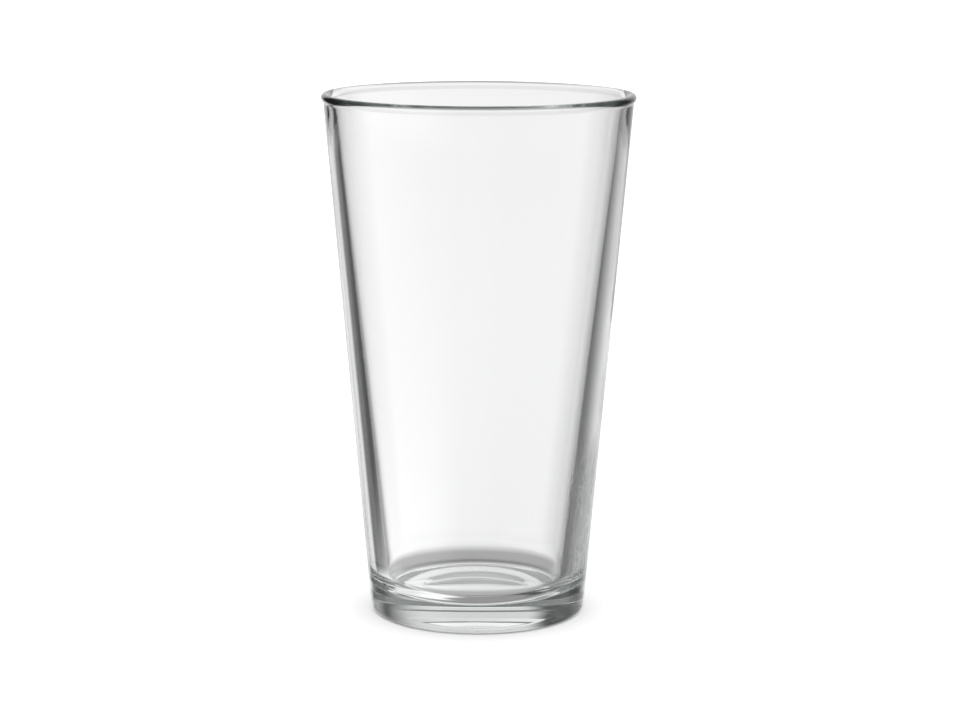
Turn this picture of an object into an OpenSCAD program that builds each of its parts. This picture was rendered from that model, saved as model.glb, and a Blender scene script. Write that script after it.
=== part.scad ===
// Pint glass: a tall conical tumbler for beer and for mixing drinks, pressed in
// one piece from clear soda-lime glass. It has a round fire-polished lip with a
// slight bead, a wall that thickens towards the foot, a heavy glass base and a
// shallow push-up in the middle of the underside. +Z is up, and the origin is the centre of the
// foot at table level. Lengths are in millimetres.

/* [Outside] */
// Height from the table to the top of the lip
glass_h = 149.2; // [135:0.1:165]
// Diameter across the outside of the lip
rim_d = 88.9; // [84:0.1:96]
// Diameter at which the sloping wall would meet the table
base_d = 61.5; // [56:0.1:68]

/* [Wall] */
// Thickness of the wall just under the lip, measured level
wall_top_t = 3.2; // [3:0.1:3.6]
// Thickness of the wall at the inside floor, measured level
wall_low_t = 6.4; // [4.5:0.1:7.5]

/* [Lip] */
// How far the bead of the lip stands proud of the wall
bead_proud = 0.45; // [0.3:0.05:0.7]
// Radius of the lip's round outside its crest
lip_out_r = 1.15; // [1:0.05:1.2]
// Radius of the lip's round inside its crest
lip_in_r = 2.2; // [1.6:0.1:2.2]
// Radius of the long curve by which the inside wall opens towards the lip
flare_r = 200; // [100:10:300]
// Radius of the hollow that runs from the bead into the wall
neck_r = 1.5; // [1:0.5:6]

/* [Base] */
// Thickness of the glass under the inside floor, table to floor
floor_z = 7; // [6:0.1:12]
// Radius of the inside corner between wall and floor
corner_r = 7; // [3:0.5:12]
// Radius of the heel, where the outside wall turns under
heel_r = 1.8; // [0.8:0.1:4]
// Depth of the push-up at the centre of the underside
push_up_depth = 1.2; // [0.6:0.1:3]
// Width of the flat that the glass stands on, from the heel to the push-up
stand_ring_w = 12.5; // [4:0.5:16]

/* [Smoothness] */
// Steps in each round of the section
arc_steps = 12; // [6:1:24]
// Facets in a preview of the turned surfaces
turn_facets = 180; // [60:20:240]

/* [Hidden] */

// Outside wall: a straight line in section, leaning out by lean_out degrees
rim_r = rim_d / 2;
base_r = base_d / 2;
wall_top_r = rim_r - bead_proud;
slope_out = (wall_top_r - base_r) / glass_h;
lean_out = atan(slope_out);

// Inside wall: a second straight line that leans out a little more
inner_low_r = base_r + slope_out * floor_z - wall_low_t;
inner_top_r = wall_top_r - wall_top_t;
slope_in = (inner_top_r - inner_low_r) / (glass_h - floor_z);
lean_in = atan(slope_in);

// Lip: two rounds that meet at its crest, one outside and one inside
lip_x = rim_r - lip_out_r;
lip_out_z = glass_h - lip_out_r;
lip_in_z = glass_h - lip_in_r;

// Flare: the long curve that touches the inside wall and the lip's inside round.
// lip_gap is how far the round's centre lies behind the line of the inside wall,
// flare_back how far the flare's centre lies behind the round's centre, and
// flare_down how far it lies below it along the wall.
lip_gap = (lip_x - inner_top_r + slope_in * lip_in_r) * cos(lean_in);
flare_back = flare_r - lip_gap;
flare_down = sqrt(pow(flare_r - lip_in_r, 2) - pow(flare_back, 2));
flare_x = lip_x - flare_down * sin(lean_in) + flare_back * cos(lean_in);
flare_z = lip_in_z - flare_down * cos(lean_in) - flare_back * sin(lean_in);
// Direction from the flare's centre to the centre of the lip's inside round
flare_turn = atan2(lip_in_z - flare_z, lip_x - flare_x);

// Neck: the hollow round that touches the outside wall and the lip's outside
// round. That round's centre lies lip_back behind the outside wall, and the
// neck's centre lies neck_down below it along the wall.
lip_back = (base_r + slope_out * lip_out_z - lip_x) * cos(lean_out);
neck_out = neck_r + lip_back;
neck_down = sqrt(pow(lip_out_r + neck_r, 2) - pow(neck_out, 2));
neck_x = lip_x - neck_down * sin(lean_out) + neck_out * cos(lean_out);
neck_z = lip_out_z - neck_down * cos(lean_out) - neck_out * sin(lean_out);
// Direction from the lip's centre to the neck's centre
neck_turn = atan2(neck_z - lip_out_z, neck_x - lip_x);

// Heel: the round that touches the table and the outside wall
heel_x = base_r + slope_out * heel_r - heel_r / cos(lean_out);

// Inside corner: the round that touches the floor and the inside wall
corner_x = inner_low_r + slope_in * corner_r - corner_r / cos(lean_in);

// Push-up: a shallow spherical hollow inside the flat that the glass stands on
push_up_w = heel_x - stand_ring_w;
push_up_r = (pow(push_up_w, 2) + pow(push_up_depth, 2)) / (2 * push_up_depth);
push_up_turn = asin(push_up_w / push_up_r);

// Points along an arc of a section, from one direction to another in degrees
function arc(x, z, r, from, to) = [
    for (i = [0 : arc_steps])
        let (a = from + (to - from) * i / arc_steps)
        [x + r * cos(a), z + r * sin(a)]
];

// Half of the section, from the middle of the underside round to the floor.
// Straight stretches are the gaps between one arc's end and the next one's start.
module glass_section() {
    polygon(concat(
        arc(0, push_up_depth - push_up_r, push_up_r, 90, 90 - push_up_turn),
        arc(heel_x, heel_r, heel_r, -90, -lean_out),
        arc(neck_x, neck_z, neck_r, 180 - lean_out, 180 + neck_turn),
        arc(lip_x, lip_out_z, lip_out_r, neck_turn, 90),
        arc(lip_x, lip_in_z, lip_in_r, 90, flare_turn),
        arc(flare_x, flare_z, flare_r, flare_turn, 180 - lean_in),
        arc(corner_x, floor_z + corner_r, corner_r, -lean_in, -90),
        [[0, floor_z]]
    ));
}

// The whole glass, turned about its axis
module glass() {
    color([0.86, 0.9, 0.9, 0.4])
        rotate_extrude($fn = turn_facets) glass_section();
}

glass();
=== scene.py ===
"""Pint glass in a small bright-field studio. Metres, in the CAD model's frame."""

import math

import bmesh
import bpy
import numpy as np
from mathutils import Matrix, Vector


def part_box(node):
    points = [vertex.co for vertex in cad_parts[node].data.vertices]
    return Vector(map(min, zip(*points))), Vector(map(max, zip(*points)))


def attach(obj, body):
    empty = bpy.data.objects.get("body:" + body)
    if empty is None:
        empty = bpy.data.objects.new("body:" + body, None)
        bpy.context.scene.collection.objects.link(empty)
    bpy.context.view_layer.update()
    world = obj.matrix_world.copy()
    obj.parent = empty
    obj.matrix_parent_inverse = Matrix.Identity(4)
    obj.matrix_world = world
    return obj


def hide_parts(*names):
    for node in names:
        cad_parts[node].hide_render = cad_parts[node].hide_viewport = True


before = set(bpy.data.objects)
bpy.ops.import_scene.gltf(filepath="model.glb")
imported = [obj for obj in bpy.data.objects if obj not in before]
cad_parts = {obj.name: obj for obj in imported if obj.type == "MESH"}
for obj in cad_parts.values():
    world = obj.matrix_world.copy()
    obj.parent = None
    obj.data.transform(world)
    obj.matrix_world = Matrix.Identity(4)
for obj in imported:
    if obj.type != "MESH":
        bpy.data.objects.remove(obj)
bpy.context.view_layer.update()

# ---- sizes taken from the CAD model -------------------------------------------------------------
foot_low, lip_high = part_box("glass")
GLASS_H = lip_high.z
RIM_R = (lip_high.x - foot_low.x) / 2

# ---- section of the glass: the same driving sizes as part.scad, here in metres -------------------
BASE_R = 0.03075
BEAD_PROUD = 0.00045
WALL_TOP_T = 0.0032
WALL_LOW_T = 0.0064
NECK_R = 0.0015
LIP_OUT_R = 0.00115
LIP_IN_R = 0.0022
FLARE_R = 0.2
FLOOR_Z = 0.007
CORNER_R = 0.007
HEEL_R = 0.0018
PUSH_UP_DEPTH = 0.0012
STAND_RING_W = 0.0125
# How far the inside floor's centre lies off the axis along X. The shift fades out at the lip.
CAVITY_SHIFT = -0.0007

# ---- steps along the section and round the axis --------------------------------------------------
TURN_STEPS = 256
ROUND_STEPS = 16
HEEL_STEPS = 14
NECK_STEPS = 8
FLARE_STEPS = 12
WALL_STEPS = 60
FLOOR_STEPS = 8
STAND_STEPS = 3

# ---- camera: a pinhole camera fitted to the outline of the glass in the photo --------------------
CAM_BACK = 0.7576
CAM_UP = 0.2120
CAM_SIDE = 0.00057
CAM_PITCH = math.radians(10.415)
CAM_ROLL = math.radians(0.168)
CAM_LENS = 100.79
CAM_SENSOR_W = 36
CAM_CLIP_NEAR = 0.01

# ---- floor --------------------------------------------------------------------------------------
FLOOR_R = 6.0
FLOOR_SIDES = 96
FLOOR_GREY = (0.86, 0.86, 0.86, 1)
FLOOR_ROUGHNESS = 0.9
FLOOR_SHINE = 0.2

# ---- light --------------------------------------------------------------------------------------
WORLD_LIGHT = 1.72
TENT_R = 3.0
TENT_SEGMENTS = 96
TENT_RINGS = 48
# Light that is guided along the wall up to the rim comes out black with far fewer bounces.
GLASS_BOUNCES = 72
FLOOR_BOUNCES = 4
BRIGHTEST_INDIRECT = 4
# The cards stand still round the glass. Each row is a name, the card's two sides, how softly each
# side fades in, its lower and upper edge, how softly each edge fades in, and its glow. Angles are in
# degrees: the sides from straight behind the glass, positive to the right, and the edges from level.
# The glows were set over several renders, after a rough fit to the photo's grey levels.
TENT_CARDS = (
    ("backdrop", (-32, 50), (9, 40), (-32, 5), (12, 6), 0.89),
    ("backdrop_left", (-28, 6), (8, 26), (-32, 5), (12, 6), 0.15),
    ("backdrop_top", (-31, 48), (13, 30), (-1, 52), (6, 14), 0.80),
    ("gap_left", (-70, -22), (15, 12), (-40, 0), (10, 12), 0.04),
    ("gap_right", (25, 80), (15, 15), (-40, 2), (10, 10), 0.06),
    # The next three rows glow in place of the floor, which the glass doesn't see: a painted shadow
    # on the floor behind the glass, painted light on the floor to its left, and painted shade under
    # the glass.
    ("table_behind", (-40, 60), (15, 25), (-50, -22), (8, 8), 0.34),
    ("table_left", (-170, -22), (40, 14), (-75, -17.5), (10, 9), 0.82),
    ("table", (-180, 180), (0, 0), (-90, -42), (0, 14), 0.25),
    ("left_softbox", (-180, -58), (0, 20), (-38, 11), (17, 11), 0.86),
    ("left_side", (-150, -58), (40, 20), (-38, 11), (17, 11), 0.08),
    ("left_top", (-180, -40), (0, 20), (5, 40), (10, 15), 0.16),
    ("right_softbox", (56, 180), (20, 0), (-38, 11), (17, 11), 0.86),
    ("right_top", (45, 180), (20, 0), (5, 40), (10, 15), 0.16),
    ("right_side_top", (45, 150), (20, 40), (5, 40), (10, 15), 0.34),
    ("overhead", (-180, 180), (0, 0), (22, 90), (20, 0), 0.46),
    ("room", (-180, 180), (0, 0), (-90, 90), (0, 0), 0.05),
)

# ---- glass --------------------------------------------------------------------------------------
IOR = 1.52
GLASS_TINT = (0.852, 0.865, 0.861, 1)
TINT_DENSITY = 30.0
# Waves: how many to a metre along each axis, and their height
WAVE_PER_M = (90, 90, 14)
WAVE_H = 0.00003
# Chill marks: grain to a metre, height, and where they fade in and out along X and up Z
CHILL_PER_M = (900, 900, 500)
CHILL_H = 0.00015
CHILL_SIDE = (0.024, 0.031)
CHILL_HIGH = (0.058, 0.036)
CHILL_LOW = (0.004, 0.010)


def make_camera():
    data = bpy.data.cameras.new("camera")
    data.sensor_width = CAM_SENSOR_W
    data.lens = CAM_LENS
    data.clip_start = CAM_CLIP_NEAR
    camera = bpy.data.objects.new("camera", data)
    stand = Matrix.Translation((CAM_SIDE, -CAM_BACK, CAM_UP))
    tilt = Matrix.Rotation(math.radians(90) - CAM_PITCH, 4, "X")
    roll = Matrix.Rotation(CAM_ROLL, 4, "Z")
    camera.matrix_world = stand @ tilt @ roll
    bpy.context.scene.collection.objects.link(camera)
    bpy.context.scene.camera = camera


def arc(x, z, r, start, end, steps):
    """Points of a section along a round, between two directions in radians."""
    return [
        (x + r * math.cos(a), z + r * math.sin(a))
        for a in (start + (end - start) * i / steps for i in range(steps + 1))
    ]


def straight(p, q, steps):
    """Points between two points of a section, without the two ends."""
    return [
        (p[0] + (q[0] - p[0]) * i / steps, p[1] + (q[1] - p[1]) * i / steps)
        for i in range(1, steps)
    ]


def glass_section():
    """Half of the section, from the middle of the underside round to the middle of the floor."""
    wall_top_r = RIM_R - BEAD_PROUD
    slope_out = (wall_top_r - BASE_R) / GLASS_H
    lean_out = math.atan(slope_out)
    inner_low_r = BASE_R + slope_out * FLOOR_Z - WALL_LOW_T
    inner_top_r = wall_top_r - WALL_TOP_T
    slope_in = (inner_top_r - inner_low_r) / (GLASS_H - FLOOR_Z)
    lean_in = math.atan(slope_in)
    crest_x = RIM_R - LIP_OUT_R
    lip_out_z = GLASS_H - LIP_OUT_R
    lip_in_z = GLASS_H - LIP_IN_R
    lip_gap = (crest_x - inner_top_r + slope_in * LIP_IN_R) * math.cos(lean_in)
    flare_back = FLARE_R - lip_gap
    flare_down = math.sqrt((FLARE_R - LIP_IN_R) ** 2 - flare_back**2)
    flare_x = crest_x - flare_down * math.sin(lean_in) + flare_back * math.cos(lean_in)
    flare_z = lip_in_z - flare_down * math.cos(lean_in) - flare_back * math.sin(lean_in)
    flare_turn = math.atan2(lip_in_z - flare_z, crest_x - flare_x)
    neck_out = NECK_R + (BASE_R + slope_out * lip_out_z - crest_x) * math.cos(lean_out)
    neck_down = math.sqrt((LIP_OUT_R + NECK_R) ** 2 - neck_out**2)
    neck_x = crest_x - neck_down * math.sin(lean_out) + neck_out * math.cos(lean_out)
    neck_z = lip_out_z - neck_down * math.cos(lean_out) - neck_out * math.sin(lean_out)
    neck_turn = math.atan2(neck_z - lip_out_z, neck_x - crest_x)
    heel_x = BASE_R + slope_out * HEEL_R - HEEL_R / math.cos(lean_out)
    corner_x = inner_low_r + slope_in * CORNER_R - CORNER_R / math.cos(lean_in)
    push_up_w = heel_x - STAND_RING_W
    push_up_r = (push_up_w**2 + PUSH_UP_DEPTH**2) / (2 * PUSH_UP_DEPTH)
    push_up_turn = math.asin(push_up_w / push_up_r)
    up = math.pi / 2
    level = math.pi

    push_up_z = PUSH_UP_DEPTH - push_up_r
    under = arc(0, push_up_z, push_up_r, up, up - push_up_turn, ROUND_STEPS)[1:]
    heel = arc(heel_x, HEEL_R, HEEL_R, -up, -lean_out, HEEL_STEPS)
    neck = arc(neck_x, neck_z, NECK_R, level - lean_out, level + neck_turn, NECK_STEPS)
    lip = arc(crest_x, lip_out_z, LIP_OUT_R, neck_turn, up, ROUND_STEPS)[1:]
    lip += arc(crest_x, lip_in_z, LIP_IN_R, up, flare_turn, ROUND_STEPS)[1:]
    lip += arc(flare_x, flare_z, FLARE_R, flare_turn, level - lean_in, FLARE_STEPS)[1:]
    corner = arc(corner_x, FLOOR_Z + CORNER_R, CORNER_R, -lean_in, -up, ROUND_STEPS)
    points = under + straight(under[-1], heel[0], STAND_STEPS) + heel
    points += straight(heel[-1], neck[0], WALL_STEPS) + neck + lip
    points += straight(lip[-1], corner[0], WALL_STEPS) + corner
    points += straight(corner[-1], (0, FLOOR_Z), FLOOR_STEPS)
    return [(0, PUSH_UP_DEPTH)] + points + [(0, FLOOR_Z)]


def make_glass(material):
    """The section turned about the axis, with the cavity shifted a little to one side."""
    section = np.array(glass_section())
    rows = len(section) - 2
    turn = 2 * math.pi * np.arange(TURN_STEPS) / TURN_STEPS
    radius, height = section[1:-1, 0, None], section[1:-1, 1, None]
    inside = np.arange(rows)[:, None] > section[:, 1].argmax()
    shift = CAVITY_SHIFT * inside * (GLASS_H - height) / GLASS_H
    x = radius * np.cos(turn) + shift
    y = radius * np.sin(turn)
    z = np.broadcast_to(height, x.shape)
    points = np.stack([x, y, z], axis=-1).reshape(-1, 3).tolist()
    bottom, top = len(points), len(points) + 1
    points += [(0, 0, section[0, 1]), (CAVITY_SHIFT, 0, section[-1, 1])]
    faces = []
    last = (rows - 1) * TURN_STEPS
    for i in range(TURN_STEPS):
        j = (i + 1) % TURN_STEPS
        faces.append((bottom, j, i))
        faces.append((top, last + i, last + j))
        for row in range(0, last, TURN_STEPS):
            faces.append((row + i, row + j, row + TURN_STEPS + j, row + TURN_STEPS + i))
    mesh = bpy.data.meshes.new("tumbler")
    mesh.from_pydata(points, [], faces)
    mesh.polygons.foreach_set("use_smooth", [True] * len(mesh.polygons))
    piece = bpy.data.objects.new("tumbler", mesh)
    piece.data.materials.append(material)
    bpy.context.scene.collection.objects.link(piece)
    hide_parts("glass")
    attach(piece, "root")


def math_node(nodes, links, operation, *values):
    """A maths node whose values are numbers or other nodes' outputs."""
    node = nodes.new("ShaderNodeMath")
    node.operation = operation
    for socket, value in zip(node.inputs, values):
        if isinstance(value, (int, float)):
            socket.default_value = value
        else:
            links.new(value, socket)
    return node.outputs[0]


def fade(nodes, links, value, start, end):
    """0 before start and 1 after end, or the other way round if end is the smaller."""
    node = nodes.new("ShaderNodeMapRange")
    node.interpolation_type = "SMOOTHSTEP"
    node.inputs["From Min"].default_value = start
    node.inputs["From Max"].default_value = end
    links.new(value, node.inputs["Value"])
    return node.outputs["Result"]


def stretched_noise(nodes, links, place, per_metre, detail):
    """Noise with its own number of waves per metre along each axis."""
    scale = nodes.new("ShaderNodeMapping")
    scale.inputs["Scale"].default_value = per_metre
    links.new(place, scale.inputs["Vector"])
    noise = nodes.new("ShaderNodeTexNoise")
    noise.inputs["Scale"].default_value = 1.0
    noise.inputs["Detail"].default_value = detail
    links.new(scale.outputs["Vector"], noise.inputs["Vector"])
    return noise.outputs["Fac"]


def chill_mask(nodes, links, place):
    """1 in a patch low on the right side of the glass, and 0 elsewhere."""
    split = nodes.new("ShaderNodeSeparateXYZ")
    links.new(place, split.inputs[0])
    side = fade(nodes, links, split.outputs["X"], *CHILL_SIDE)
    high = fade(nodes, links, split.outputs["Z"], *CHILL_HIGH)
    low = fade(nodes, links, split.outputs["Z"], *CHILL_LOW)
    upright = math_node(nodes, links, "MULTIPLY", high, low)
    return math_node(nodes, links, "MULTIPLY", side, upright)


def glass_material():
    """Clear soda-lime glass: faint upright waves from the mould, and chill marks low on one side."""
    material = bpy.data.materials.new("clear_glass")
    material.use_nodes = True
    nodes, links = material.node_tree.nodes, material.node_tree.links
    shader = nodes["Principled BSDF"]
    shader.inputs["Base Color"].default_value = (1, 1, 1, 1)
    shader.inputs["Roughness"].default_value = 0.0
    shader.inputs["IOR"].default_value = IOR
    shader.inputs["Transmission Weight"].default_value = 1.0
    place = nodes.new("ShaderNodeTexCoord").outputs["Object"]
    waves = stretched_noise(nodes, links, place, WAVE_PER_M, 1)
    marks = stretched_noise(nodes, links, place, CHILL_PER_M, 3)
    marks = math_node(nodes, links, "MULTIPLY", marks, chill_mask(nodes, links, place))
    waves = math_node(nodes, links, "MULTIPLY", waves, WAVE_H)
    marks = math_node(nodes, links, "MULTIPLY", marks, CHILL_H)
    height = math_node(nodes, links, "ADD", waves, marks)
    bump = nodes.new("ShaderNodeBump")
    bump.inputs["Strength"].default_value = 1.0
    bump.inputs["Distance"].default_value = 1.0
    links.new(height, bump.inputs["Height"])
    links.new(bump.outputs["Normal"], shader.inputs["Normal"])
    tint = nodes.new("ShaderNodeVolumeAbsorption")
    tint.inputs["Color"].default_value = GLASS_TINT
    tint.inputs["Density"].default_value = TINT_DENSITY
    links.new(tint.outputs["Volume"], nodes["Material Output"].inputs["Volume"])
    return material


def floor_material():
    material = bpy.data.materials.new("studio_floor")
    material.use_nodes = True
    shader = material.node_tree.nodes["Principled BSDF"]
    shader.inputs["Base Color"].default_value = FLOOR_GREY
    shader.inputs["Roughness"].default_value = FLOOR_ROUGHNESS
    shader.inputs["Specular IOR Level"].default_value = FLOOR_SHINE
    return material


def make_floor():
    """The sheet under the glass, lit by the world. The glass doesn't refract or mirror it, because
    a white sheet seen through the base takes away the dark arcs that the photo has."""
    mesh = bpy.data.meshes.new("studio_floor")
    turn = [2 * math.pi * i / FLOOR_SIDES for i in range(FLOOR_SIDES)]
    edge = [(FLOOR_R * math.cos(a), FLOOR_R * math.sin(a), 0) for a in turn]
    mesh.from_pydata(edge, [], [range(FLOOR_SIDES)])
    floor = bpy.data.objects.new("studio_floor", mesh)
    floor.data.materials.append(floor_material())
    bpy.context.scene.collection.objects.link(floor)
    floor.visible_transmission = False
    floor.visible_glossy = False


def tent_direction(nodes, links):
    """Azimuth from straight behind the glass, and height above level, both in degrees."""
    place = nodes.new("ShaderNodeTexCoord")
    split = nodes.new("ShaderNodeSeparateXYZ")
    links.new(place.outputs["Object"], split.inputs[0])
    x, y, z = split.outputs
    x_squared = math_node(nodes, links, "MULTIPLY", x, x)
    y_squared = math_node(nodes, links, "MULTIPLY", y, y)
    level = math_node(nodes, links, "ADD", x_squared, y_squared)
    level = math_node(nodes, links, "SQRT", level)
    azimuth = math_node(nodes, links, "ARCTAN2", x, y)
    height = math_node(nodes, links, "ARCTAN2", z, level)
    return (
        math_node(nodes, links, "DEGREES", azimuth),
        math_node(nodes, links, "DEGREES", height),
    )


def card_glow(nodes, links, azimuth, height, card):
    """One card's light: its glow, faded at each edge that has a softness."""
    _, (left, right), (soft_left, soft_right), (low, high), (soft_low, soft_high), glow = card
    edges = (
        (azimuth, left, left + soft_left, soft_left),
        (azimuth, right, right - soft_right, soft_right),
        (height, low, low + soft_low, soft_low),
        (height, high, high - soft_high, soft_high),
    )
    total = None
    for value, start, end, soft in edges:
        if soft:
            part = fade(nodes, links, value, start, end)
            total = part if total is None else math_node(nodes, links, "MULTIPLY", total, part)
    if total is None:
        return glow
    return math_node(nodes, links, "MULTIPLY", total, glow)


def tent_material():
    material = bpy.data.materials.new("light_tent")
    material.use_nodes = True
    nodes, links = material.node_tree.nodes, material.node_tree.links
    nodes.clear()
    azimuth, height = tent_direction(nodes, links)
    total = 0.0
    for card in TENT_CARDS:
        part = card_glow(nodes, links, azimuth, height, card)
        total = math_node(nodes, links, "ADD", total, part)
    glow = nodes.new("ShaderNodeEmission")
    out = nodes.new("ShaderNodeOutputMaterial")
    links.new(total, glow.inputs["Strength"])
    links.new(glow.outputs[0], out.inputs["Surface"])
    material.cycles.emission_sampling = "NONE"
    return material


def make_tent(material):
    """The cards, lamps and painted floor alike, on one big ball seen only by refracted and mirrored
    rays.
    """
    mesh = bpy.data.meshes.new("light_tent")
    ball = bmesh.new()
    bmesh.ops.create_uvsphere(
        ball, u_segments=TENT_SEGMENTS, v_segments=TENT_RINGS, radius=TENT_R
    )
    ball.to_mesh(mesh)
    ball.free()
    tent = bpy.data.objects.new("light_tent", mesh)
    mesh.materials.append(material)
    bpy.context.scene.collection.objects.link(tent)
    tent.visible_camera = False
    tent.visible_diffuse = False
    tent.visible_shadow = False


def make_light():
    world = bpy.data.worlds.new("studio")
    world.use_nodes = True
    background = world.node_tree.nodes["Background"]
    background.inputs["Color"].default_value = (1, 1, 1, 1)
    background.inputs["Strength"].default_value = WORLD_LIGHT
    bpy.context.scene.world = world


def settings():
    scene = bpy.context.scene
    scene.view_settings.view_transform = "Standard"
    scene.cycles.max_bounces = GLASS_BOUNCES
    scene.cycles.transmission_bounces = GLASS_BOUNCES
    scene.cycles.glossy_bounces = GLASS_BOUNCES
    scene.cycles.diffuse_bounces = FLOOR_BOUNCES
    scene.cycles.caustics_refractive = True
    scene.cycles.caustics_reflective = True
    scene.cycles.sample_clamp_indirect = BRIGHTEST_INDIRECT
    scene.cycles.use_denoising = True


make_camera()
make_floor()
make_tent(tent_material())
make_light()
settings()
make_glass(glass_material())
